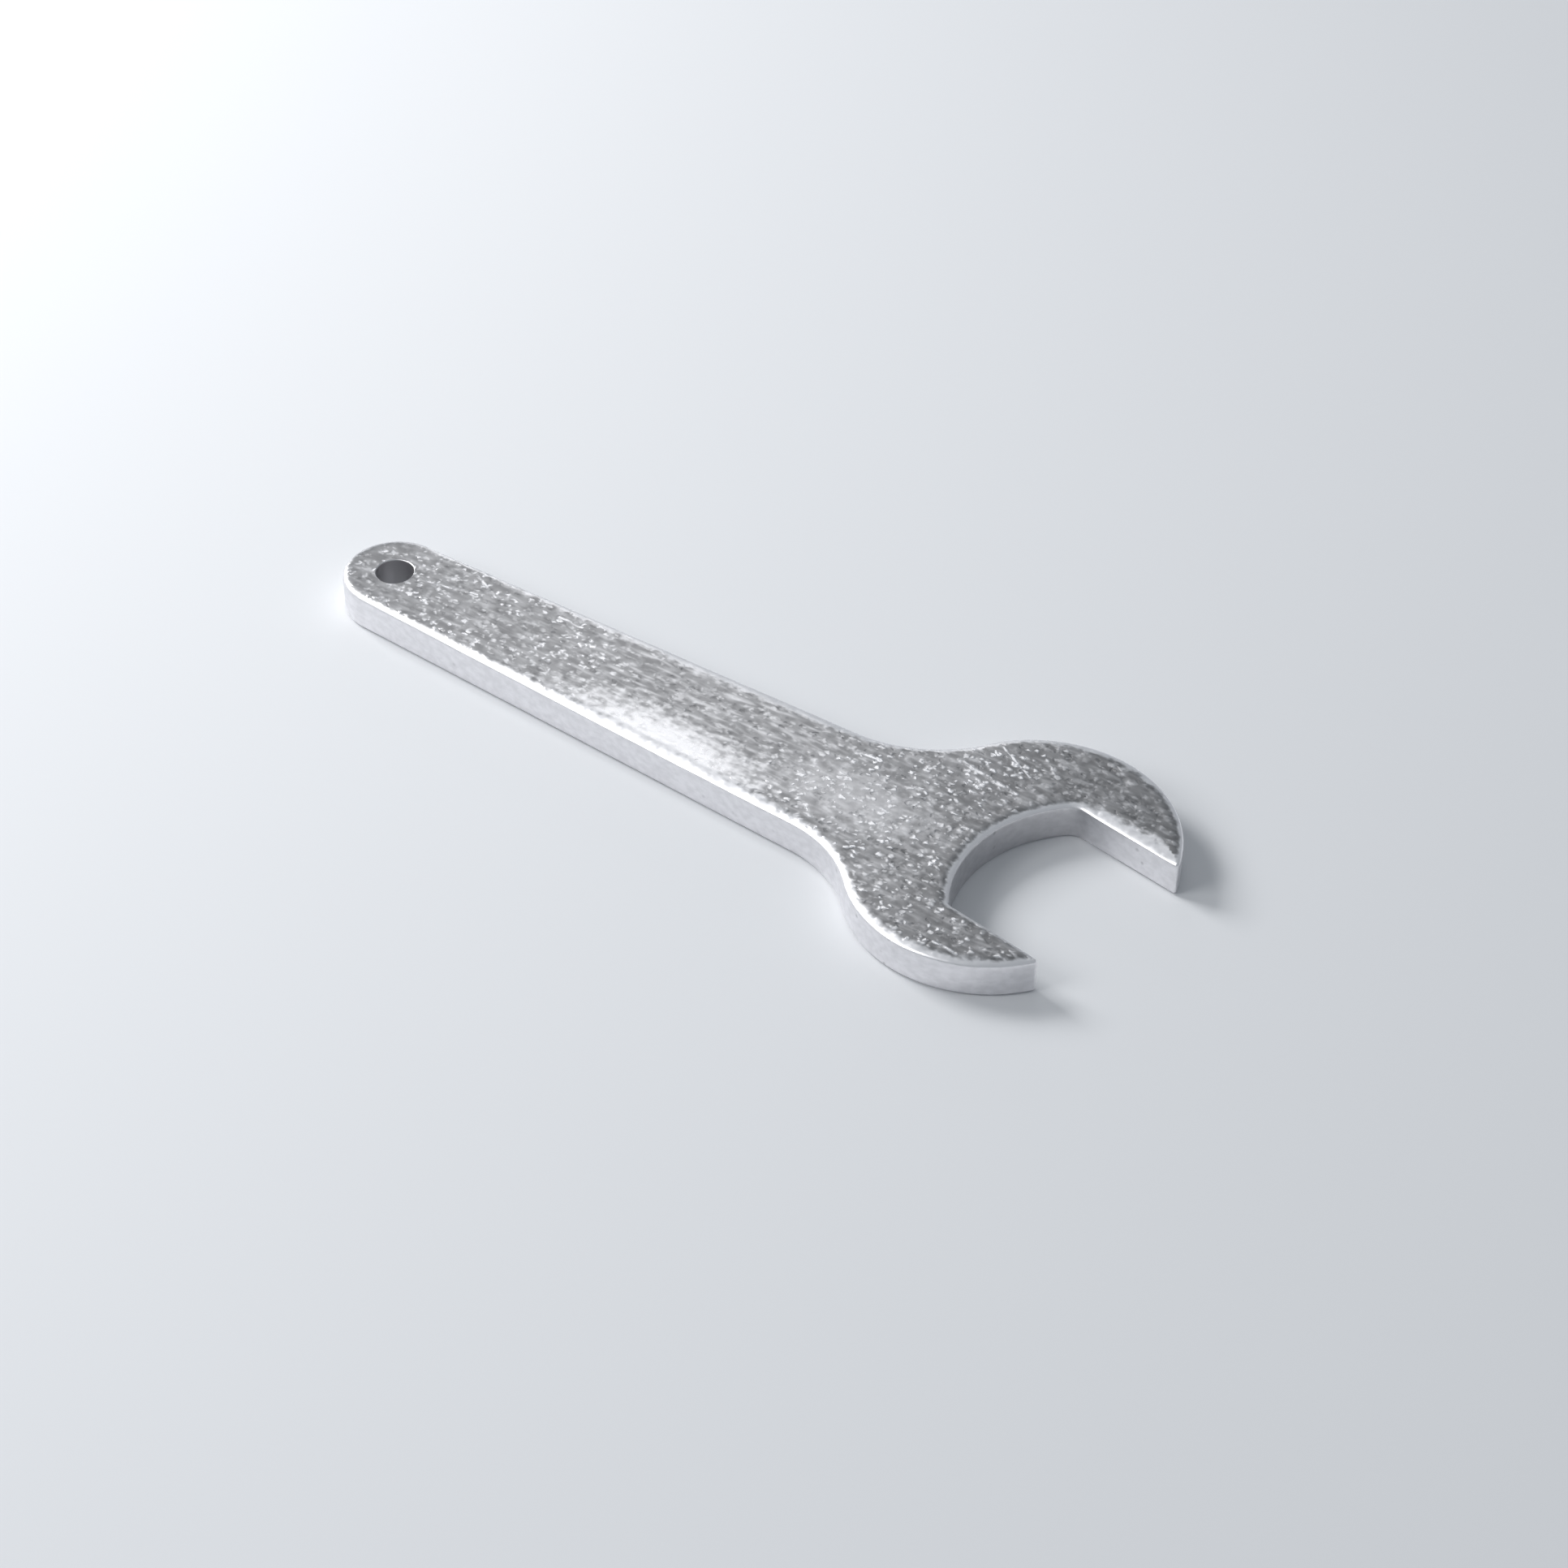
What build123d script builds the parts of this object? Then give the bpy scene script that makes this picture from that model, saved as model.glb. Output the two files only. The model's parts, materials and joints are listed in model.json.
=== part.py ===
from build123d import *
import math
import os

# One-piece flat open-end wrench for a fire hydrant: a tapered handle with a
# hanging hole, and a two-lobed head with an open jaw. It is cut from plate.
#
# Sketch frame, in millimetres: the origin is the centre of the handle's round
# end, +X runs along the handle towards the head, and +Y is towards the longer
# lobe. The finished solid is then moved so that its origin is the centre of
# its bounding box, on the underside. +Z is up, through the plate.

# Plate
PLATE_THICKNESS = 8.0
EDGE_RADIUS = 1.2             # worn round along every outer edge, above and below

# Handle
END_RADIUS = 10.5             # the handle's round end
FLANK_TAPER = 2.0             # degrees that each flank opens towards the head
HOLE_DIAMETER = 7.5           # hanging hole, on the centre of the round end
HOLE_RIM_RADIUS = 0.3         # deburred rims of the hanging hole

# Head: one arc for each lobe, and one fillet between each flank and its lobe
LOBE_RADIUS = 26.5
LONG_LOBE_CENTRE = (146.6, 10.4)
SHORT_LOBE_CENTRE = (143.3, -2.7)
LONG_NECK_RADIUS = 28.0
SHORT_NECK_RADIUS = 25.5

# Jaw: parallel flats, turned away from the handle towards the shorter lobe
JAW_WIDTH = 36.0              # across flats of the nut that it turns
JAW_ANGLE = -7.5              # degrees from the handle's axis
JAW_ROOT = (146.1, 2.7)       # middle of the line between the flats' inner ends
THROAT_DEPTH = 7.0            # how far the throat's arc reaches behind that line
LONG_ROOT_RADIUS = 4.0        # corner between the throat and the longer lobe's flat
SHORT_ROOT_RADIUS = 1.6       # corner between the throat and the shorter lobe's flat
TIP_RADIUS = 0.6              # upright corner where a lobe's arc meets its flat


def polar(angle, length=1.0):
    """The vector of this length at this angle in degrees from +X."""
    return Vector(length * math.cos(math.radians(angle)), length * math.sin(math.radians(angle)))


def neck_points(side, lobe_centre, neck_radius):
    """Where a flank starts, where it meets its neck fillet, the fillet's
    middle, and where the fillet meets the lobe. side is 1 for the longer lobe
    and -1 for the shorter one. Neck, flank and lobe are tangent."""
    centre = Vector(lobe_centre[0], side * lobe_centre[1])
    normal = polar(90 + FLANK_TAPER)
    along = polar(FLANK_TAPER)
    start = normal * END_RADIUS
    # The fillet's centre lies on a line beside the flank, neck_radius away,
    # at neck_radius + LOBE_RADIUS from the lobe's centre.
    beside = start + normal * neck_radius
    gap = beside - centre
    half = gap.dot(along)
    rest = gap.dot(gap) - (neck_radius + LOBE_RADIUS) ** 2
    run = -half - math.sqrt(half * half - rest)
    neck_centre = beside + along * run
    flank_end = start + along * run
    to_lobe = (centre - neck_centre).normalized()
    lobe_start = neck_centre + to_lobe * neck_radius
    middle = neck_centre + (to_lobe - normal).normalized() * neck_radius
    return [Vector(p.X, side * p.Y) for p in (start, flank_end, middle, lobe_start)]


def jaw_root(side):
    """The sharp corner between the throat and one flat, before its fillet."""
    return Vector(*JAW_ROOT) + polar(JAW_ANGLE + 90, side * JAW_WIDTH / 2)


def jaw_tip(side, lobe_centre):
    """The sharp corner where a lobe's arc meets its flat, before its fillet."""
    root = jaw_root(side)
    along = polar(JAW_ANGLE)
    gap = root - Vector(*lobe_centre)
    half = gap.dot(along)
    rest = gap.dot(gap) - LOBE_RADIUS ** 2
    return root + along * (-half + math.sqrt(half * half - rest))


def lobe_middle(lobe_centre, start, end):
    """The middle of a lobe's arc, on the side away from the jaw."""
    centre = Vector(*lobe_centre)
    across = ((start - centre).normalized() + (end - centre).normalized()).normalized()
    return centre + across * LOBE_RADIUS


def outline():
    """The plate's outline as one face, with its jaw corners rounded."""
    long_flank, long_neck, long_mid, long_lobe = neck_points(1, LONG_LOBE_CENTRE, LONG_NECK_RADIUS)
    short_flank, short_neck, short_mid, short_lobe = neck_points(-1, SHORT_LOBE_CENTRE, SHORT_NECK_RADIUS)
    long_tip = jaw_tip(1, LONG_LOBE_CENTRE)
    short_tip = jaw_tip(-1, SHORT_LOBE_CENTRE)
    long_root = jaw_root(1)
    short_root = jaw_root(-1)
    throat_middle = Vector(*JAW_ROOT) - polar(JAW_ANGLE, THROAT_DEPTH)
    edges = [
        ThreePointArc(short_flank, Vector(-END_RADIUS, 0), long_flank),
        Line(long_flank, long_neck),
        ThreePointArc(long_neck, long_mid, long_lobe),
        ThreePointArc(long_lobe, lobe_middle(LONG_LOBE_CENTRE, long_lobe, long_tip), long_tip),
        Line(long_tip, long_root),
        ThreePointArc(long_root, throat_middle, short_root),
        Line(short_root, short_tip),
        ThreePointArc(short_tip, lobe_middle(SHORT_LOBE_CENTRE, short_tip, short_lobe), short_lobe),
        ThreePointArc(short_lobe, short_mid, short_neck),
        Line(short_neck, short_flank),
    ]
    face = make_face(edges).face()
    corners = [
        (long_tip, TIP_RADIUS),
        (short_tip, TIP_RADIUS),
        (long_root, LONG_ROOT_RADIUS),
        (short_root, SHORT_ROOT_RADIUS),
    ]
    for corner, radius in corners:
        nearest = face.vertices().sort_by_distance(corner)[0]
        face = face.fillet_2d(radius, [nearest])
    return face


def wrench_body():
    """The plate with rounded edges and its hanging hole, at its final place."""
    plate = extrude(outline(), PLATE_THICKNESS)
    flat_edges = plate.faces().sort_by(Axis.Z)[0].edges() + plate.faces().sort_by(Axis.Z)[-1].edges()
    plate = fillet(flat_edges, EDGE_RADIUS)
    hole = Cylinder(
        HOLE_DIAMETER / 2,
        PLATE_THICKNESS,
        align=(Align.CENTER, Align.CENTER, Align.MIN),
    )
    plate = plate - hole
    rims = [e for e in plate.edges().filter_by(GeomType.CIRCLE) if abs(e.radius - HOLE_DIAMETER / 2) < 1e-6]
    plate = fillet(rims, HOLE_RIM_RADIUS)
    box = plate.bounding_box()
    middle = (box.min + box.max) / 2
    return plate.moved(Location((-middle.X, -middle.Y, 0))).solid()


os.makedirs("parts", exist_ok=True)
export_step(wrench_body(), "parts/wrench_body.step")
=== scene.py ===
import json
import math

import bmesh
import bpy
import numpy as np
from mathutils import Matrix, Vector, noise
from mathutils.geometry import delaunay_2d_cdt


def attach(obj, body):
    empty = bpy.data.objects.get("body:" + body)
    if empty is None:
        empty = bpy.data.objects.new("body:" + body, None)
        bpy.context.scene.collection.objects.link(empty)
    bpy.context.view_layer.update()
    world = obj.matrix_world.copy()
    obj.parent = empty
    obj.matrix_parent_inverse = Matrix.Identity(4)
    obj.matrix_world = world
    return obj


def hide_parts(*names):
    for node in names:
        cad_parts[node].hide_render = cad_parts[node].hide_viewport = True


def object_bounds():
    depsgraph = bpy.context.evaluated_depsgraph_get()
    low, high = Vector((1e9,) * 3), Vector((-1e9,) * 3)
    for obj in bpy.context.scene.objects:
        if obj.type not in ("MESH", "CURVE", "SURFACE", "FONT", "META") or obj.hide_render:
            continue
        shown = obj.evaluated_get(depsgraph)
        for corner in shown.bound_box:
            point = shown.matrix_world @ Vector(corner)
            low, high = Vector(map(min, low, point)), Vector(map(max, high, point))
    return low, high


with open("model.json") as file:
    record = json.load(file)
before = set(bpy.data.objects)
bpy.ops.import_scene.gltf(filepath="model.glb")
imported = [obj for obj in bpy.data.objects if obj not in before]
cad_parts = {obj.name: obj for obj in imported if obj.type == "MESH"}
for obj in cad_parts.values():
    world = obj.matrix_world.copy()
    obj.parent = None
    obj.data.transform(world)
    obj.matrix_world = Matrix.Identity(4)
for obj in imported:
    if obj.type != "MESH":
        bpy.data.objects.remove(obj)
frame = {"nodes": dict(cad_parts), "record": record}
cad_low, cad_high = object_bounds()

# Everything is in metres, in the CAD frame: +X from the hanging hole to the
# jaw, +Y towards the longer lobe, +Z up through the plate.
MM = 0.001
SEED = 7

NODE = "wrench_body"
BODY = "root"

# Outline
EDGE_RADIUS = 1.2 * MM        # the CAD's rounded edges, and the height of its wall's lowest ring
STRAIGHT = 5 * MM             # a longer run between two outline corners is a straight flank or flat
MESH_STEP = 0.5 * MM          # spacing of the metal's mesh
FINEST_STEP = 0.22 * MM       # spacing round the sharpest corners
TRACE_STEP = 0.05 * MM        # spacing of the fine trace that the outline's points are picked from
TURN_WINDOW = 12              # trace points each side over which the bend is measured
SPACING_WINDOW = 40           # trace points each side that share their closest spacing
TURN_STEP = 0.16              # radians of turn between two outline points on a tight corner

# Hanging hole
HOLE_RIM = 0.3 * MM           # deburred rims
HOLE_COUNT = 64               # points round the hole
HOLE_ROWS = 14                # spans of mesh down the hole's wall
RIM_ROWS = 4                  # rings of mesh on each rim

# Rolled upper edge, as a die leaves it, and the plainer lower edge
RING_INSET = 0.5 * MM         # the wall's rings reach this far in over a face, less than a tip's radius
RING_ROWS = 7                 # rings between the wall and that inset
WALL_ROWS = 12                # spans of mesh up the wall
ROLL_DEPTH = 1.05 * MM        # how far the rolled upper edge drops at the wall
ROLL_PLACES = (-91, -60, -30, -5, 20, 38, 62, 91)                # X in mm
ROLL_WIDTHS = (1.2, 1.8, 2.8, 3.6, 2.8, 1.8, 2.5, 1.3)           # mm in over the upper face
THROAT_ROLL = 1.5 * MM
SHORT_FLAT_ROLL = 1.2 * MM
LONG_FLAT_ROLLS = (2.8 * MM, 4.8 * MM)    # at the throat, and at the tip
UNDER_DEPTH = 0.7 * MM        # the lower edge, all the way round
UNDER_WIDTH = 1.1 * MM
RELAX_ROUNDS = 4              # times that the faces' drop is evened out

# Jaw, along and across the record's jaw mount
JAW_BAND = 18.5 * MM          # the throat's wall lies nearer than this to the jaw's middle line
FLAT_BAND = 18.6 * MM         # and so do the flats
THROAT_START = -21 * MM       # the throat runs from here to the flats' start
FLAT_START = -10 * MM
FLAT_RUN = 22 * MM            # from the flats' start to the longer lobe's tip
FLAT_FACING = 0.8             # a flat's normal points at least this squarely across the jaw

# Wear, in millimetres inwards
WAVE = 0.07
DIMPLE = 0.022
GRAIN = 0.008
DENT_COUNT = 90
DENT_LEVEL = 0.995            # dents lie where the normal is at least this upright
DENT_RADII = (0.8, 1.7)
DENT_DEPTHS = (0.02, 0.07)

# Scratches on the upper face: where each starts and ends, and its width, in mm
SCRATCHES = [
    ((-75, -3), (-62.5, 0), 0.5),
    ((-67, 5), (-59, 1.5), 0.45),
    ((-45, 4), (-39, 4), 0.5),
    ((26, 5.5), (31, 5.5), 0.6),
    ((43, 14.5), (57, 12.5), 0.75),
    ((46.5, 12), (50.5, 11), 0.8),
    ((47.5, 22.5), (56.5, 18), 0.4),
    ((66.5, -29), (71.5, -29.5), 0.5),
]
UNDER_SCRATCHES = 9

# Flecks on the faces: length and width in mm, share of cells that hold one, and a shift
FLECKS = ((2.1, 1.45), 0.60, 3.0)
CRUMBS = ((1.45, 1.15), 0.50, 11.0)
SPECKS = ((1.7, 1.2), 0.40, 23.0)

# Patches worn bright on both faces, partly wear and partly a painted highlight of a softbox's reflection:
# centre and reach in mm
EDGE_WEAR_AND_SHEEN = ((-7, -15), (32, 11))
NECK_WEAR_AND_SHEEN = ((34, -6), (24, 11))
NECK_WEAR_AND_SHEEN_SHARE = 0.36        # how strong the neck's patch is beside the edge's

# Tones, as grey reflectance
HANDLE_TONE = 0.34
HEAD_TONE = 0.27
SPECK_TONE = 0.16
# the flecks' and streaks' tone, partly burnished and partly painted glints
FLECK_GLINT_TONE = 0.95
# the worn patches' tone, partly wear and partly a painted highlight
WEAR_AND_SHEEN_TONE = 0.93
WALL_TONES = (0.80, 0.90)
PIT_SHARE = 0.62              # how much of the wall's tone is left in a pit
THROAT_SHADE_SHARE = 0.78           # and in the throat, as painted shade
ROLL_TONE = 0.94
# the hole's wall, darkened as painted shade
BORE_SHADE_TONE = 0.66
ZINC_TINT = (0.99, 0.98, 1.0, 1)

DULL_ROUGHNESS = 0.33
BURNISHED_ROUGHNESS = 0.26
WALL_ROUGHNESS = (0.40, 0.33)
BUMP_HEIGHT = 0.00006

# Camera, about a target this far from the middle of the CAD's box
CAMERA_AZIMUTH = 35.8
CAMERA_ELEVATION = 41.5
CAMERA_DISTANCE = 0.671
CAMERA_LENS = 81.1
CAMERA_SENSOR = 36.0
CAMERA_CLIP = 0.01
TARGET_SHIFT = (15.1 * MM, -3.4 * MM)
TARGET_HEIGHT = 0.3 * MM

# Softboxes: azimuth, elevation, distance, width and height in metres, and watts
SOFTBOXES = {
    "key": (270, 36, 1.0, 0.40, 0.40, 8.8),
    "front": (-34, 40, 1.0, 0.40, 0.40, 2.7),
    "back": (218, 39, 1.03, 0.34, 0.4, 0.36),
    "glow": (223.6, 46.6, 1.0, 0.10, 0.10, 0.04),
    "rim": (216, 17, 1.0, 0.14, 0.06, 0.16),
}
FLOOR_SIZE = 6.0
FLOOR_COLOUR = (0.69, 0.70, 0.72, 1)
FLOOR_ROUGHNESS = 0.9
FLOOR_SPECULAR = 0.1
SKY_COLOUR = (0.88, 0.94, 1.0, 1)
SKY_STRENGTH = 0.40


def mount(name):
    """One of the record's mounts."""
    return next(m for m in frame["record"]["mounts"] if m["name"] == name)


# ---------------------------------------------------------------- outline

def cad_outline(cad):
    """The CAD wall's outline at the foot of the wall: its corners in order."""
    bm = bmesh.new()
    bm.from_mesh(cad.data)
    bmesh.ops.remove_doubles(bm, verts=bm.verts, dist=0.001 * MM)
    on_ring = {v for v in bm.verts if abs(v.co.z - EDGE_RADIUS) < 0.005 * MM}
    near = {v: [e.other_vert(v) for e in v.link_edges if e.other_vert(v) in on_ring] for v in on_ring}
    start = min(on_ring, key=lambda v: v.co.x)
    ring = [start, min(near[start], key=lambda v: v.co.y)]
    while ring[-1] is not start:
        ring.append(next(v for v in near[ring[-1]] if v is not ring[-2]))
    points = np.array([v.co[:2] for v in ring[:-1]])
    bm.free()
    return points


def corner_tangents(points):
    """The outline's direction at each corner: that of the circle through the
    corner and its neighbours, or of the straight run beside it."""
    back = points - np.roll(points, 1, 0)
    ahead = np.roll(points, -1, 0) - points
    back_length = np.linalg.norm(back, axis=1, keepdims=True)
    ahead_length = np.linalg.norm(ahead, axis=1, keepdims=True)
    tangent = back / back_length ** 2 + ahead / ahead_length ** 2
    tangent = np.where(back_length > STRAIGHT, back, tangent)
    tangent = np.where(ahead_length > STRAIGHT, ahead, tangent)
    return tangent / np.linalg.norm(tangent, axis=1, keepdims=True)


def fine_trace(points):
    """The outline as many points on smooth curves through its corners."""
    tangents = corner_tangents(points)
    samples = []
    for i in range(len(points)):
        a, b = points[i], points[(i + 1) % len(points)]
        length = np.linalg.norm(b - a)
        ta, tb = tangents[i] * length, tangents[(i + 1) % len(points)] * length
        count = max(2, int(length / TRACE_STEP))
        t = (np.arange(count) / count)[:, None]
        samples.append(
            a * (2 * t ** 3 - 3 * t ** 2 + 1) + ta * (t ** 3 - 2 * t ** 2 + t)
            + b * (3 * t ** 2 - 2 * t ** 3) + tb * (t ** 3 - t ** 2)
        )
    return np.vstack(samples)


def trace_spacing(step, run):
    """The spacing wanted at each trace point, closer on a tight bend."""
    heading = np.unwrap(np.arctan2(step[:, 1], step[:, 0]))
    turn = np.abs(np.roll(heading, -TURN_WINDOW) - np.roll(heading, TURN_WINDOW))
    turn = np.minimum(turn, np.abs(turn - 2 * math.pi))
    bend = turn / (np.maximum(2 * TURN_WINDOW * run, 1e-9))
    spacing = np.clip(TURN_STEP / np.maximum(bend, 1.0), FINEST_STEP, MESH_STEP)
    wide = np.concatenate([spacing[-SPACING_WINDOW:], spacing, spacing[:SPACING_WINDOW]])
    span = 2 * SPACING_WINDOW + 1
    return np.array([wide[i:i + span].min() for i in range(len(spacing))])


def smooth_outline(points):
    """The outline as evenly spaced points on smooth arcs, closer together on
    tight corners, with the outward normal at each point."""
    fine = fine_trace(points)
    step = np.roll(fine, -1, 0) - fine
    run = np.linalg.norm(step, axis=1)
    density = np.concatenate([[0.0], np.cumsum(run / trace_spacing(step, run))])
    count = int(round(density[-1]))
    wanted = np.arange(count) * density[-1] / count
    closed = np.vstack([fine, fine[:1]])
    even = np.column_stack([np.interp(wanted, density, closed[:, k]) for k in (0, 1)])
    heading = np.roll(even, -1, 0) - np.roll(even, 1, 0)
    heading /= np.linalg.norm(heading, axis=1, keepdims=True)
    return even, np.column_stack([heading[:, 1], -heading[:, 0]])


# ---------------------------------------------------------------- rolled edges

def noise_at(points, size, seed):
    """Smooth noise from -1 to 1 at each point, with features of this size."""
    shift = Vector((seed * 13.7, seed * 5.3, seed * 9.1))
    return np.array([noise.noise(Vector(p) / size + shift) for p in points])


def blurred(values, ring, reach):
    """Values along the closed outline, averaged over about this reach."""
    result = np.zeros(len(values))
    total = np.zeros(len(values))
    for k in range(-14, 15):
        gap = np.linalg.norm(np.roll(ring, k, 0) - ring, axis=1)
        weight = np.exp(-0.5 * (gap / reach) ** 2)
        result += weight * np.roll(values, k)
        total += weight
    return result / total


def roll_widths(ring, normals):
    """How far in the rolled upper edge reaches at each outline point, and
    how far each point is in the jaw's throat, from 0 to 1."""
    width = np.interp(ring[:, 0] / MM, ROLL_PLACES, ROLL_WIDTHS) * MM
    jaw = mount("jaw")
    axis = np.array(jaw["axis"][:2])
    square = np.array([-axis[1], axis[0]])
    gap = ring - np.array(jaw["pos_m"][:2])
    along, across = gap @ axis, gap @ square
    facing = -np.sign(across) * (normals @ square)
    throat = (np.abs(across) < JAW_BAND) & (along < FLAT_START) & (along > THROAT_START)
    flat = (facing > FLAT_FACING) & (np.abs(across) < FLAT_BAND) & (along >= FLAT_START)
    reach = np.clip((along - FLAT_START) / FLAT_RUN, 0, 1)
    at_throat, at_tip = LONG_FLAT_ROLLS
    width = np.where(flat & (across > 0), at_throat + (at_tip - at_throat) * reach, width)
    width = np.where(flat & (across < 0), SHORT_FLAT_ROLL, width)
    width = np.where(throat, THROAT_ROLL, width)
    worn = noise_at([(p[0], p[1], 0.3) for p in ring], 8 * MM, SEED)
    worn += 0.5 * noise_at([(p[0], p[1], 0.4) for p in ring], 2.5 * MM, SEED + 1)
    width *= 1 + 0.16 * worn
    return blurred(width, ring, 1.6 * MM), blurred(throat.astype(float), ring, 0.8 * MM)


def roll_drop(inset, width, depth):
    """How far a rolled edge's surface drops below the face, this far in from the wall."""
    reach = np.clip(1 - inset / width, 0, 1)
    return depth * (1 - np.sqrt(1 - reach ** 2))


def wall_profile(upper_width, upper_depth):
    """Rows of the wall from the underside's inner ring to the upper face's:
    for each row, how far in each point is, and how high."""
    thickness = cad_high.z
    ones = np.ones(len(upper_width))
    steps = RING_INSET * (1 - np.cos(np.linspace(0, math.pi / 2, RING_ROWS)))
    rows = [(s * ones, roll_drop(s, UNDER_WIDTH, UNDER_DEPTH) * ones) for s in steps[::-1]]
    for k in range(1, WALL_ROWS):
        share = k / WALL_ROWS
        rows.append((0 * ones, UNDER_DEPTH * (1 - share) + (thickness - upper_depth) * share))
    rows += [(s * ones, thickness - roll_drop(s, upper_width, upper_depth)) for s in steps]
    return rows


def hole_profile(radius):
    """Rows of the hole's wall from the underside to the upper face: radius and height."""
    thickness = cad_high.z
    rows = []
    for angle in np.linspace(math.pi / 2, 0, RIM_ROWS):
        rows.append((radius + HOLE_RIM * (1 - math.cos(angle)), HOLE_RIM * (1 - math.sin(angle))))
    for k in range(1, HOLE_ROWS):
        rows.append((radius, HOLE_RIM + (thickness - 2 * HOLE_RIM) * k / HOLE_ROWS))
    for angle in np.linspace(0, math.pi / 2, RIM_ROWS):
        rise = HOLE_RIM * (1 - math.sin(angle))
        rows.append((radius + HOLE_RIM * (1 - math.cos(angle)), thickness - rise))
    return rows


# ---------------------------------------------------------------- faces

def inside(points, ring):
    """True for each point inside the closed ring."""
    result = np.zeros(len(points), bool)
    x, y = points[:, 0], points[:, 1]
    for (x0, y0), (x1, y1) in zip(ring, np.roll(ring, -1, 0)):
        if y0 != y1:
            crosses = (y0 > y) != (y1 > y)
            result ^= crosses & (x < (x1 - x0) * (y - y0) / (y1 - y0) + x0)
    return result


def nearest_outline(points, ring):
    """For each point, the nearest outline point's index and its distance."""
    index = np.zeros(len(points), int)
    gap = np.zeros(len(points))
    for start in range(0, len(points), 2000):
        chunk = points[start:start + 2000]
        squared = ((chunk[:, None] - ring[None]) ** 2).sum(2)
        index[start:start + 2000] = squared.argmin(1)
        gap[start:start + 2000] = np.sqrt(squared.min(1))
    return index, gap


def face_grid(ring, hole_reach, hole_centre, rng):
    """A slightly uneven triangular grid of points, clear of the face's outline and hole."""
    low, high = ring.min(0), ring.max(0)
    columns = np.arange(low[0], high[0], MESH_STEP)
    rows = np.arange(low[1], high[1], MESH_STEP * math.sqrt(3) / 2)
    grid = np.vstack([
        np.column_stack([columns + (k % 2) * MESH_STEP / 2, np.full(len(columns), y)])
        for k, y in enumerate(rows)
    ])
    grid += rng.uniform(-0.12, 0.12, grid.shape) * MESH_STEP
    grid = grid[inside(grid, ring)]
    grid = grid[np.linalg.norm(grid - hole_centre, axis=1) > hole_reach + 0.6 * MESH_STEP]
    return grid[nearest_outline(grid, ring)[1] > 0.55 * MESH_STEP]


def face_fill(ring, hole_ring, hole_centre, rng):
    """Triangles that fill a face between its outer ring and the hole's ring.
    The rings' points come first, in order, and then the fill's own points."""
    hole_reach = np.linalg.norm(hole_ring[0] - hole_centre)
    grid = face_grid(ring, hole_reach, hole_centre, rng)
    points = np.vstack([ring, hole_ring, grid])
    n, m = len(ring), len(hole_ring)
    edges = [(i, (i + 1) % n) for i in range(n)] + [(n + i, n + (i + 1) % m) for i in range(m)]
    scaled = [Vector(p) for p in points / MM]
    made = delaunay_2d_cdt(scaled, edges, [], 0, 1e-6, True)
    origin = np.array([ids[0] if ids else -1 for ids in made[3]])
    triangles = origin[np.array(made[2])]
    middles = points[triangles].mean(1)
    outside_hole = np.linalg.norm(middles - hole_centre, axis=1) > hole_reach * 0.98
    triangles = triangles[inside(middles, ring) & outside_hole]
    return points, triangles


def relaxed(values, triangles, fixed):
    """Values at a face's points, evened out with their neighbours. The first
    points, as many as fixed says, keep theirs."""
    pairs = np.vstack([triangles[:, [0, 1]], triangles[:, [1, 2]], triangles[:, [2, 0]]])
    pairs = np.vstack([pairs, pairs[:, ::-1]])
    shared = np.bincount(pairs[:, 0], minlength=len(values))
    for _ in range(RELAX_ROUNDS):
        near = np.bincount(pairs[:, 0], weights=values[pairs[:, 1]], minlength=len(values))
        values = np.concatenate([values[:fixed], (near / np.maximum(shared, 1))[fixed:]])
    return values


def facing_out(points, triangles, upper):
    """The triangles, each turned to face out of the plate."""
    corners = points[triangles]
    first, second = corners[:, 1] - corners[:, 0], corners[:, 2] - corners[:, 0]
    turned = first[:, 0] * second[:, 1] - first[:, 1] * second[:, 0]
    wrong = (turned > 0) != upper
    triangles[wrong] = triangles[wrong][:, ::-1]
    return triangles


# ---------------------------------------------------------------- metal mesh

def vertex_values(mesh, source, name):
    """A vector of each vertex, as an array with one row for each."""
    values = np.empty(len(mesh.vertices) * 3)
    source.foreach_get(name, values)
    return values.reshape(-1, 3)


def wear(mesh, rng):
    """Moves the surface inwards by a little: slow waviness, small dimples all
    over, and dents in the faces."""
    places = vertex_values(mesh, mesh.vertices, "co")
    normals = vertex_values(mesh, mesh.vertex_normals, "vector")
    slow = 0.5 + 0.5 * noise_at(places, 16 * MM, SEED + 2)
    dimple = 0.5 + 0.5 * noise_at(places, 2.6 * MM, SEED + 3)
    fine = 0.5 + 0.5 * noise_at(places, 1.3 * MM, SEED + 4)
    flatness = np.abs(normals[:, 2]) ** 4
    push = WAVE * slow + DIMPLE * dimple * (0.3 + 0.7 * flatness) + GRAIN * fine
    level = np.flatnonzero(np.abs(normals[:, 2]) > DENT_LEVEL)
    for _ in range(DENT_COUNT):
        centre = places[rng.choice(level)]
        radius = rng.uniform(*DENT_RADII) * MM
        depth = rng.uniform(*DENT_DEPTHS)
        gap = np.linalg.norm(places - centre, axis=1) / radius
        push += depth * np.clip(1 - gap ** 2, 0, 1) ** 2
    push *= MM
    moved = places - normals * push[:, None]
    mesh.vertices.foreach_set("co", moved.ravel())
    mesh.update()


def wall_band(base, count):
    """Faces between one row of the outer wall's vertices and the row above."""
    result = []
    for i in range(count):
        j = (i + 1) % count
        result.append((base + i, base + j, base + count + j, base + count + i))
    return result


def hole_band(base, count):
    """Faces between one row of the hole's vertices and the row above."""
    result = []
    for i in range(count):
        j = (i + 1) % count
        result.append((base + j, base + i, base + count + i, base + count + j))
    return result


def set_attribute(mesh, name, values):
    """One number for each vertex, for the material to read."""
    mesh.attributes.new(name, "FLOAT", "POINT").data.foreach_set("value", values)


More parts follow.
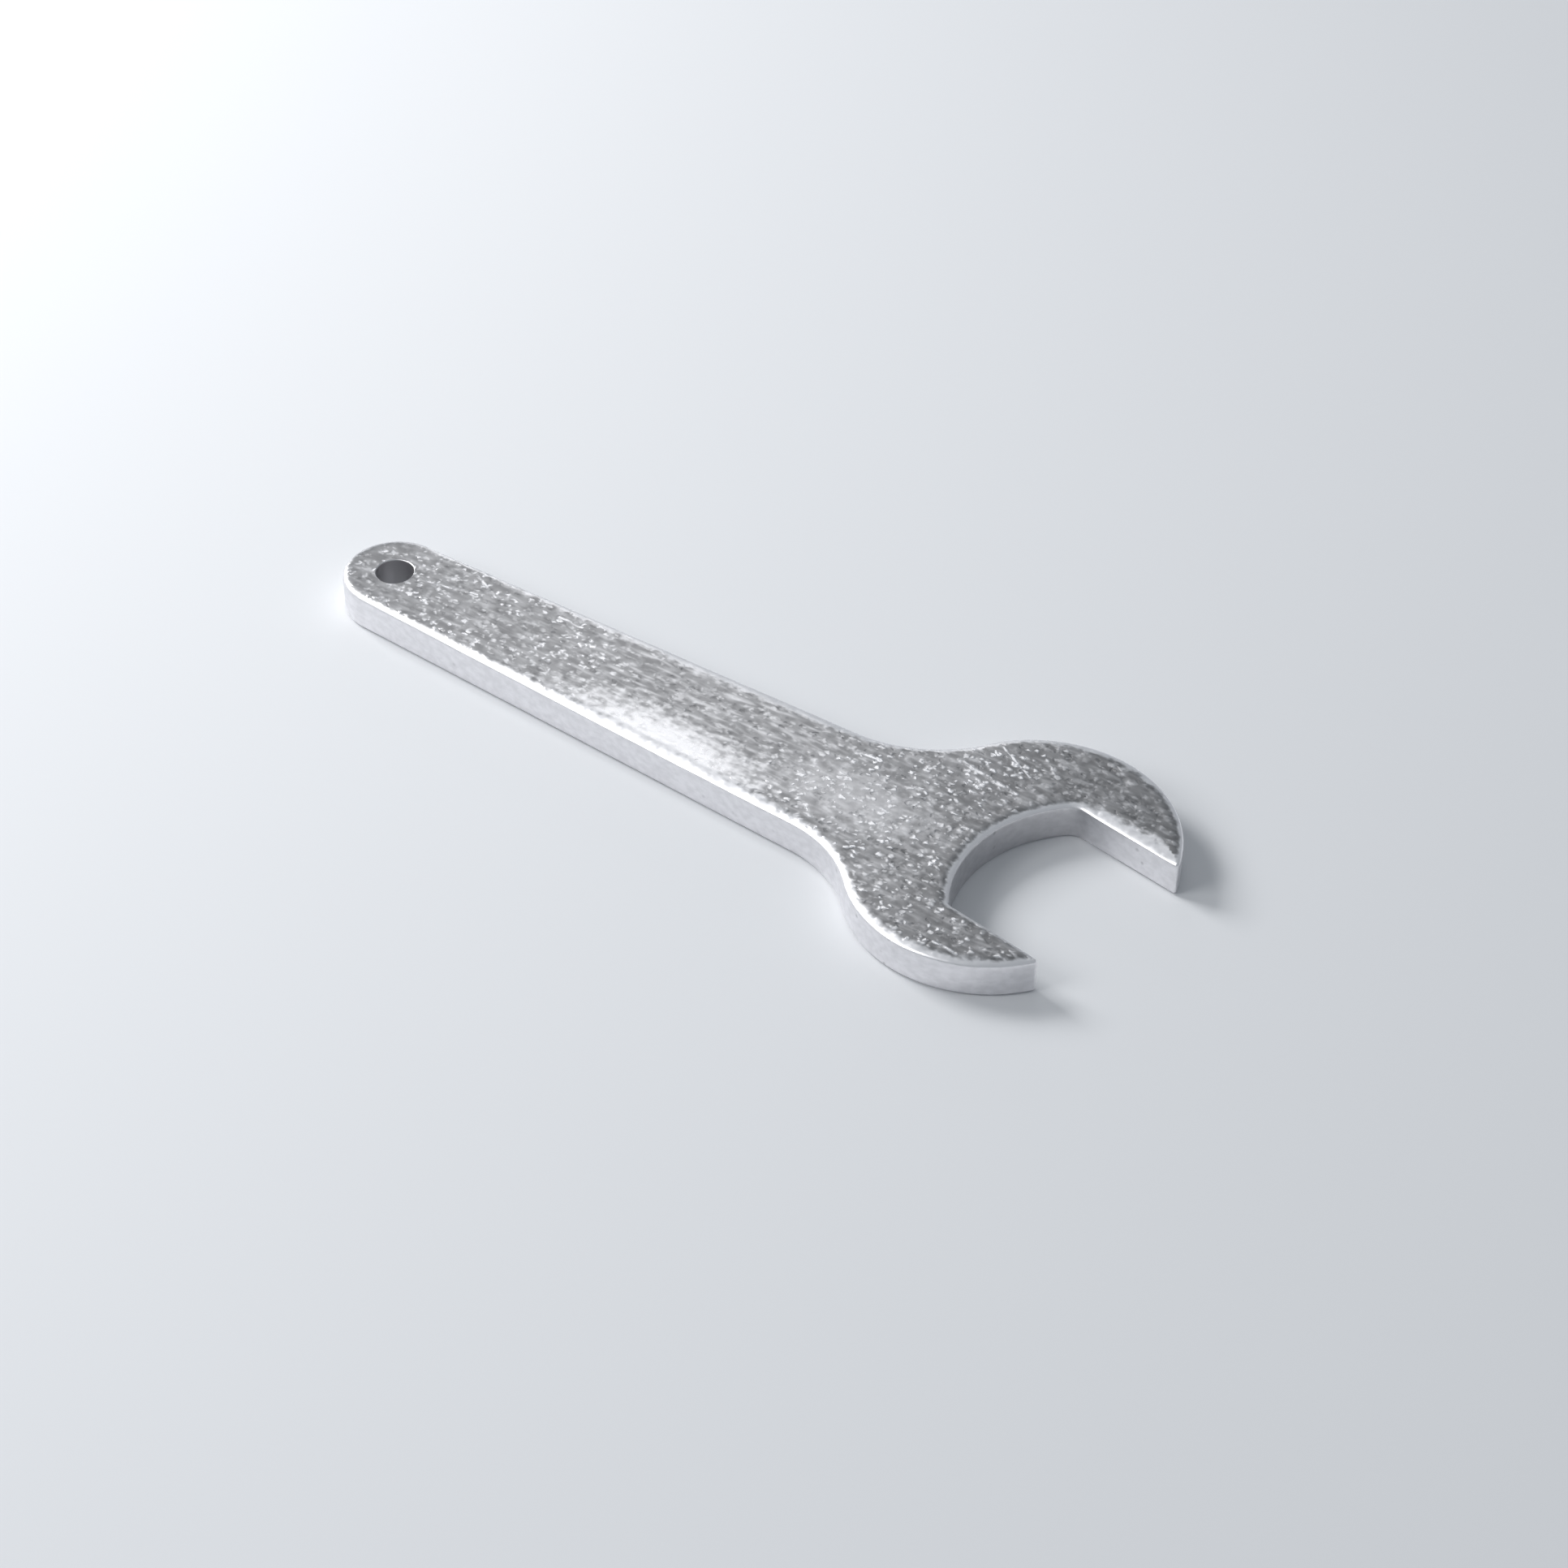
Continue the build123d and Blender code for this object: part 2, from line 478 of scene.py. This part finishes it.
def build_metal(cad):
    """The wrench as one dense closed mesh on the CAD's surface, with its wear."""
    rng = np.random.default_rng(SEED)
    ring, normals = smooth_outline(cad_outline(cad))
    widths, in_throat = roll_widths(ring, normals)
    depths = ROLL_DEPTH * (1 + 0.12 * noise_at([(p[0], p[1], 0.6) for p in ring], 10 * MM, SEED + 6))
    hole = mount("hanging_hole")
    hole_centre = np.array(hole["pos_m"][:2])
    hole_radius = hole["dims"]["r_mm"] * MM
    turn = np.arange(HOLE_COUNT) * 2 * math.pi / HOLE_COUNT
    hole_unit = np.column_stack([np.cos(turn), np.sin(turn)])

    verts, faces, flat, bore = [], [], [], []
    n, m = len(ring), HOLE_COUNT
    rows = wall_profile(widths, depths)
    for inset, height in rows:
        verts.append(np.column_stack([ring - normals * inset[:, None], height]))
        reach = inset / (widths if height[0] > cad_high.z / 2 else UNDER_WIDTH)
        flat.append(np.clip(reach, 0, 1))
    for r in range(len(rows) - 1):
        faces += wall_band(r * n, n)
    hole_base = len(rows) * n
    hole_rows = hole_profile(hole_radius)
    for radius, height in hole_rows:
        verts.append(np.column_stack([hole_centre + hole_unit * radius, np.full(m, height)]))
        on_rim = np.clip((radius - hole_radius) / HOLE_RIM, 0, 1)
        flat.append(np.full(m, on_rim))
        bore.append(np.full(m, 1 - on_rim))
    for r in range(len(hole_rows) - 1):
        faces += hole_band(hole_base + r * m, m)
    base = hole_base + len(hole_rows) * m
    for upper in (False, True):
        row = len(rows) - 1 if upper else 0
        hole_row = len(hole_rows) - 1 if upper else 0
        outer = verts[row][:, :2]
        rim = verts[len(rows) + hole_row][:, :2]
        points, triangles = face_fill(outer, rim, hole_centre, rng)
        own = points[n + m:]
        near, gap = nearest_outline(own, ring)
        width = widths[near] if upper else np.full(len(own), UNDER_WIDTH)
        depth = depths[near] if upper else UNDER_DEPTH
        level = cad_high.z if upper else 0
        ring_drop = np.abs(level - verts[row][:, 2])
        drop = np.concatenate([ring_drop, np.zeros(m), roll_drop(gap, width, depth)])
        drop = relaxed(drop, triangles, n + m)[n + m:]
        flat.append(np.clip(gap / width, 0, 1))
        verts.append(np.column_stack([own, level - drop if upper else drop]))
        index = np.concatenate([
            np.arange(n) + row * n,
            np.arange(m) + hole_base + hole_row * m,
            np.arange(len(own)) + base,
        ])
        base += len(own)
        faces += index[facing_out(points, triangles, upper)].tolist()
    mesh = bpy.data.meshes.new("wrench_metal")
    mesh.from_pydata(np.vstack(verts).tolist(), [], faces)
    mesh.update()
    mesh.shade_smooth()
    throat = np.zeros(len(mesh.vertices))
    throat[:hole_base] = np.tile(in_throat, len(rows))
    in_bore = np.zeros(len(mesh.vertices))
    in_bore[hole_base:hole_base + len(hole_rows) * m] = np.concatenate(bore)
    set_attribute(mesh, "flatness", np.concatenate(flat))
    set_attribute(mesh, "throat", throat)
    set_attribute(mesh, "bore", in_bore)
    wear(mesh, rng)
    piece = bpy.data.objects.new("wrench_metal", mesh)
    bpy.context.scene.collection.objects.link(piece)
    return piece


# ---------------------------------------------------------------- material

class Graph:
    """Short calls that add nodes to a material and link them."""

    def __init__(self, tree):
        self.nodes, self.links = tree.nodes, tree.links

    def add(self, kind, inputs=None, **settings):
        node = self.nodes.new("ShaderNode" + kind)
        for name, value in settings.items():
            setattr(node, name, value)
        for name, value in (inputs or {}).items():
            if isinstance(value, bpy.types.NodeSocket):
                self.links.new(value, node.inputs[name])
            else:
                node.inputs[name].default_value = value
        return node

    def math(self, operation, a, b=0.0, clamp=False):
        return self.add("Math", {0: a, 1: b}, operation=operation, use_clamp=clamp).outputs[0]

    def vector(self, operation, a, b):
        return self.add("VectorMath", {0: a, 1: b}, operation=operation).outputs[0]

    def grown(self, vector, factor):
        return self.add("VectorMath", {0: vector, "Scale": factor}, operation="SCALE").outputs[0]

    def ramp(self, value, low, high, to_low=0.0, to_high=1.0):
        """Smooth step of a value between two limits."""
        inputs = {"Value": value, "From Min": low, "From Max": high, "To Min": to_low, "To Max": to_high}
        return self.add("MapRange", inputs, interpolation_type="SMOOTHSTEP").outputs["Result"]

    def blend(self, factor, a, b):
        return self.add("Mix", {0: factor, 2: a, 3: b}, data_type="FLOAT").outputs[0]

    def scaled(self, vector, scale, offset=(0, 0, 0)):
        return self.add("Mapping", {"Vector": vector, "Scale": scale, "Location": offset}).outputs["Vector"]

    def noise(self, vector, detail):
        return self.add("TexNoise", {"Vector": vector, "Scale": 1.0, "Detail": detail, "Roughness": 0.5})

    def attribute(self, name):
        return self.add("Attribute", attribute_name=name).outputs["Fac"]


def fleck_mask(g, place, size, share, shift):
    """Separate flecks of this size in millimetres, in about this share of the cells."""
    scale = (1 / size[0], 1 / size[1], 1 / size[1])
    moved = g.scaled(place, scale, (shift, shift * 2, shift * 3))
    wobble = g.noise(g.scaled(place, (0.9, 1.1, 1.1), (shift, 0, 0)), 0.0).outputs["Color"]
    wobble = g.grown(g.vector("ADD", wobble, (-0.5, -0.5, -0.5)), 0.8)
    moved = g.vector("ADD", moved, wobble)
    cells = g.add("TexVoronoi", {"Vector": moved, "Scale": 1.0, "Randomness": 1.0})
    pick = g.add("SeparateColor", {"Color": cells.outputs["Color"]}).outputs["Red"]
    chosen = g.ramp(pick, 1 - share, 1 - share * 0.4)
    body = g.ramp(cells.outputs["Distance"], 0.12, 0.52, 1.0, 0.0)
    return g.math("MULTIPLY", chosen, body)


def spot(g, axes, centre, reach, ragged):
    """A soft oval patch with a ragged rim, at a place on the faces in millimetres."""
    x = g.math("DIVIDE", g.math("SUBTRACT", axes["X"], centre[0]), reach[0])
    y = g.math("DIVIDE", g.math("SUBTRACT", axes["Y"], centre[1]), reach[1])
    gap = g.math("SQRT", g.math("ADD", g.math("MULTIPLY", x, x), g.math("MULTIPLY", y, y)))
    return g.ramp(g.math("ADD", gap, ragged), 0.25, 1.05, 1.0, 0.0)


def scratch(g, place, start, end, width):
    """A straight scratch between two places on the faces, in millimetres."""
    start, run = Vector((*start, 0)), Vector((end[0] - start[0], end[1] - start[1], 0))
    gap = g.vector("SUBTRACT", g.vector("MULTIPLY", place, (1, 1, 0)), start)
    share = g.add("VectorMath", {0: gap, 1: run / run.length_squared}, operation="DOT_PRODUCT")
    share = g.math("ADD", share.outputs["Value"], 0.0, True)
    near = g.grown(run, share)
    off = g.add("VectorMath", {0: gap, 1: near}, operation="DISTANCE").outputs["Value"]
    return g.ramp(off, 0.2 * width, width, 1.0, 0.0)


def all_scratches(g, place, height):
    """The upper face's scratches, and seeded ones on the underside."""
    rng = np.random.default_rng(SEED)
    wobble = g.noise(g.scaled(place, (0.35, 0.35, 0.35)), 2.0).outputs["Color"]
    place = g.vector("ADD", g.vector("ADD", place, wobble), (-0.5, -0.5, -0.5))
    upper = [scratch(g, place, start, end, width) for start, end, width in SCRATCHES]
    under = []
    for _ in range(UNDER_SCRATCHES):
        x, y = rng.uniform(-75, 50), rng.uniform(-9, 4)
        length, slope = rng.uniform(4, 16), rng.uniform(-0.35, 0.35)
        end = (x + length, y + length * slope)
        under.append(scratch(g, place, (x, y), end, rng.uniform(0.25, 0.5)))
    sides = []
    for group, at_under, at_upper in ((upper, 0.0, 1.0), (under, 1.0, 0.0)):
        total = group[0]
        for mask in group[1:]:
            total = g.math("MAXIMUM", total, mask)
        sides.append(g.math("MULTIPLY", total, g.ramp(height, 3.0, 5.0, at_under, at_upper)))
    return g.math("ADD", sides[0], sides[1])


def wear_and_sheen_patches(g, axes, ragged):
    """The bright patches on the neck and along the handle's edge, on the
    shorter lobe's side: partly wear, partly a painted highlight."""
    rim = g.math("MULTIPLY", ragged, 1.2)
    edge = spot(g, axes, *EDGE_WEAR_AND_SHEEN, rim)
    neck = spot(g, axes, *NECK_WEAR_AND_SHEEN, rim)
    return g.math("MAXIMUM", edge, g.math("MULTIPLY", neck, NECK_WEAR_AND_SHEEN_SHARE))


def marks_and_painted_glints(g, place, axes, patches, ragged):
    """Burnished flecks and streaks, partly painted glints, and scratches. The middle of the handle and
    the long lobe have fewer flecks, and the middle has more streaks."""
    middle = g.ramp(g.math("ABSOLUTE", g.math("ADD", axes["X"], 4.0)), 14.0, 34.0, 1.0, 0.0)
    lobe = g.math("MULTIPLY", g.ramp(axes["Y"], 9.0, 15.0), g.ramp(axes["X"], 52.0, 62.0))
    lively = g.blend(g.math("MAXIMUM", middle, lobe), 1.0, 0.5)
    crowd = g.math("MULTIPLY", g.ramp(patches, 0.35, 0.65, 0.70, 1.25), lively)
    light = g.math("MAXIMUM", fleck_mask(g, place, *FLECKS), fleck_mask(g, place, *CRUMBS))
    light = g.math("MULTIPLY", light, crowd)
    streak = g.noise(g.scaled(place, (0.16, 0.75, 0.75)), 1.0).outputs["Fac"]
    streak = g.math("MULTIPLY", g.ramp(streak, 0.46, 0.78), g.blend(middle, 0.28, 0.55))
    light = g.math("MAXIMUM", light, streak)
    lines = all_scratches(g, place, axes["Z"])
    lines = g.math("MULTIPLY", lines, g.ramp(ragged, -0.12, 0.04, 0.15, 1.0))
    return g.math("MAXIMUM", light, lines)


def face_tone(g, head, grain, specks, light, worn):
    """The faces' grey, from their dull ground up to the marks on it, with the flecks' painted glints and
    the worn patches' painted highlight.
    """
    ground = g.blend(head, HANDLE_TONE, HEAD_TONE)
    ground = g.math("MULTIPLY", ground, g.ramp(grain, 0.25, 0.75, 0.85, 1.15))
    ground = g.blend(g.math("MULTIPLY", specks, 0.45), ground, SPECK_TONE)
    # flecks and streaks, partly burnished marks and partly painted glints
    ground = g.blend(light, ground, FLECK_GLINT_TONE)
    # the worn patches, partly wear and partly a painted highlight
    return g.blend(g.math("MULTIPLY", worn, 0.85), ground, WEAR_AND_SHEEN_TONE)


def wall_pits(g, place, head):
    """Small dark pits in the walls, strongest round the head."""
    cells = g.add("TexVoronoi", {"Vector": g.scaled(place, (0.4, 0.4, 0.4)), "Scale": 1.0})
    few = g.add("SeparateColor", {"Color": cells.outputs["Color"]}).outputs["Green"]
    pits = g.ramp(cells.outputs["Distance"], 0.05, 0.24, 0.9, 0.0)
    return g.math("MULTIPLY", pits, g.math("MULTIPLY", g.ramp(few, 0.7, 1.0), g.blend(head, 0.4, 1.0)))


def wall_tone(g, mottle, pits, flatness):
    """The walls' grey: darker in the throat and the hole, as painted shade, and lighter on the rolled edge.
    """
    wall = g.math("MULTIPLY", g.ramp(mottle, 0.25, 0.75, *WALL_TONES), g.blend(pits, 1.0, PIT_SHARE))
    # painted shade in the throat
    wall = g.math("MULTIPLY", wall, g.blend(g.attribute("throat"), 1.0, THROAT_SHADE_SHARE))
    wall = g.blend(g.ramp(flatness, 0.0, 0.12), wall, ROLL_TONE)
    # painted shade in the hole
    return g.blend(g.attribute("bore"), wall, BORE_SHADE_TONE)


def metal_material():
    """Bright zinc plate on rolled steel: grey faces full of small burnished flecks and
    streaks (partly painted glints), dark specks and worn patches (partly a painted highlight),
    satin walls with painted shade in the throat and the hole, and polished rolled edges."""
    mat = bpy.data.materials.new("zinc_plate")
    mat.use_nodes = True
    g = Graph(mat.node_tree)
    shader = g.nodes["Principled BSDF"]
    shader.inputs["Metallic"].default_value = 1.0
    place = g.scaled(g.add("TexCoord").outputs["Object"], (1000, 1000, 1000))
    axes = g.add("SeparateXYZ", {"Vector": place}).outputs
    flatness = g.attribute("flatness")
    ragged = g.noise(g.scaled(place, (0.45, 0.65, 0.65)), 2.0).outputs["Fac"]
    ragged = g.math("SUBTRACT", ragged, 0.5)
    face = g.ramp(g.math("ADD", flatness, g.math("MULTIPLY", ragged, 1.1)), 0.45, 1.0)
    patches = g.noise(g.scaled(place, (0.07, 0.11, 0.11)), 2.0).outputs["Fac"]
    head = g.ramp(g.math("ADD", axes["X"], g.math("MULTIPLY", patches, 40.0)), 44.0, 92.0)

    specks = fleck_mask(g, place, *SPECKS)
    # flecks, streaks and scratches; the flecks and streaks are partly painted glints
    light = marks_and_painted_glints(g, place, axes, patches, ragged)
    # worn patches, partly wear and partly a painted highlight
    worn = wear_and_sheen_patches(g, axes, ragged)
    grain = g.noise(g.scaled(place, (0.50, 0.70, 0.70)), 0.0).outputs["Fac"]
    mottle = g.noise(g.scaled(place, (0.55, 0.55, 0.8)), 2.0).outputs["Fac"]
    pits = wall_pits(g, place, head)

    on_wall = wall_tone(g, mottle, pits, flatness)
    on_face = face_tone(g, head, grain, specks, light, worn)
    tone = g.blend(face, on_wall, on_face)
    grey = g.add("CombineColor", {"Red": tone, "Green": tone, "Blue": tone}).outputs["Color"]
    tinted = g.add("Mix", {0: 1.0, 6: grey, 7: ZINC_TINT}, data_type="RGBA", blend_type="MULTIPLY")
    g.links.new(tinted.outputs[2], shader.inputs["Base Color"])

    wall_rough = g.ramp(mottle, 0.2, 0.8, *WALL_ROUGHNESS)
    face_rough = g.blend(g.math("MAXIMUM", light, worn), DULL_ROUGHNESS, BURNISHED_ROUGHNESS)
    g.links.new(g.blend(face, wall_rough, face_rough), shader.inputs["Roughness"])

    height = g.math("MULTIPLY", g.math("SUBTRACT", light, specks), 0.7)
    height = g.math("ADD", height, grain)
    height = g.math("MULTIPLY", height, g.math("SUBTRACT", 1.0, g.math("MULTIPLY", worn, 0.7)))
    height = g.math("MULTIPLY", height, g.ramp(flatness, 0.1, 1.0))
    wall_height = g.math("SUBTRACT", g.math("MULTIPLY", mottle, 0.4), g.math("MULTIPLY", pits, 0.5))
    height = g.math("ADD", height, g.blend(face, wall_height, 0.0))
    bump = g.add("Bump", {"Height": height, "Strength": 1.0, "Distance": BUMP_HEIGHT})
    g.links.new(bump.outputs["Normal"], shader.inputs["Normal"])
    return mat


# ---------------------------------------------------------------- studio

def aim(obj, target):
    """Points an object's -Z axis at a place."""
    obj.rotation_euler = (Vector(target) - obj.location).to_track_quat("-Z", "Y").to_euler()


def direction(azimuth, elevation):
    """The unit vector from the object towards a place round it."""
    a, e = math.radians(azimuth), math.radians(elevation)
    return Vector((math.sin(a) * math.cos(e), -math.cos(a) * math.cos(e), math.sin(e)))


def add_camera():
    data = bpy.data.cameras.new("camera")
    data.sensor_width = CAMERA_SENSOR
    data.lens = CAMERA_LENS
    data.clip_start = CAMERA_CLIP
    camera = bpy.data.objects.new("camera", data)
    bpy.context.scene.collection.objects.link(camera)
    centre = (cad_low + cad_high) / 2
    target = Vector((centre.x + TARGET_SHIFT[0], centre.y + TARGET_SHIFT[1], TARGET_HEIGHT))
    camera.location = target + direction(CAMERA_AZIMUTH, CAMERA_ELEVATION) * CAMERA_DISTANCE
    aim(camera, target)
    bpy.context.scene.camera = camera


def add_softbox(name, azimuth, elevation, distance, width, height, watts):
    """A soft rectangular light, aimed at the origin."""
    data = bpy.data.lights.new(name, "AREA")
    data.shape = "RECTANGLE"
    data.size = width
    data.size_y = height
    data.energy = watts
    light = bpy.data.objects.new(name, data)
    bpy.context.scene.collection.objects.link(light)
    light.location = direction(azimuth, elevation) * distance
    aim(light, (0, 0, 0))


def add_floor():
    bpy.ops.mesh.primitive_plane_add(size=FLOOR_SIZE, location=(0, 0, 0))
    floor = bpy.context.object
    floor.name = "floor"
    mat = bpy.data.materials.new("floor_paper")
    mat.use_nodes = True
    shader = mat.node_tree.nodes["Principled BSDF"]
    shader.inputs["Base Color"].default_value = FLOOR_COLOUR
    shader.inputs["Roughness"].default_value = FLOOR_ROUGHNESS
    shader.inputs["Specular IOR Level"].default_value = FLOOR_SPECULAR
    floor.data.materials.append(mat)


def set_world():
    world = bpy.data.worlds.new("studio")
    bpy.context.scene.world = world
    world.use_nodes = True
    back = world.node_tree.nodes["Background"]
    back.inputs["Color"].default_value = SKY_COLOUR
    back.inputs["Strength"].default_value = SKY_STRENGTH


def main():
    metal = build_metal(frame["nodes"][NODE])
    metal.data.materials.append(metal_material())
    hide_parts(NODE)
    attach(metal, BODY)
    add_camera()
    add_floor()
    set_world()
    for name, settings in SOFTBOXES.items():
        add_softbox(name, *settings)
    bpy.context.scene.view_settings.view_transform = "Standard"


main()
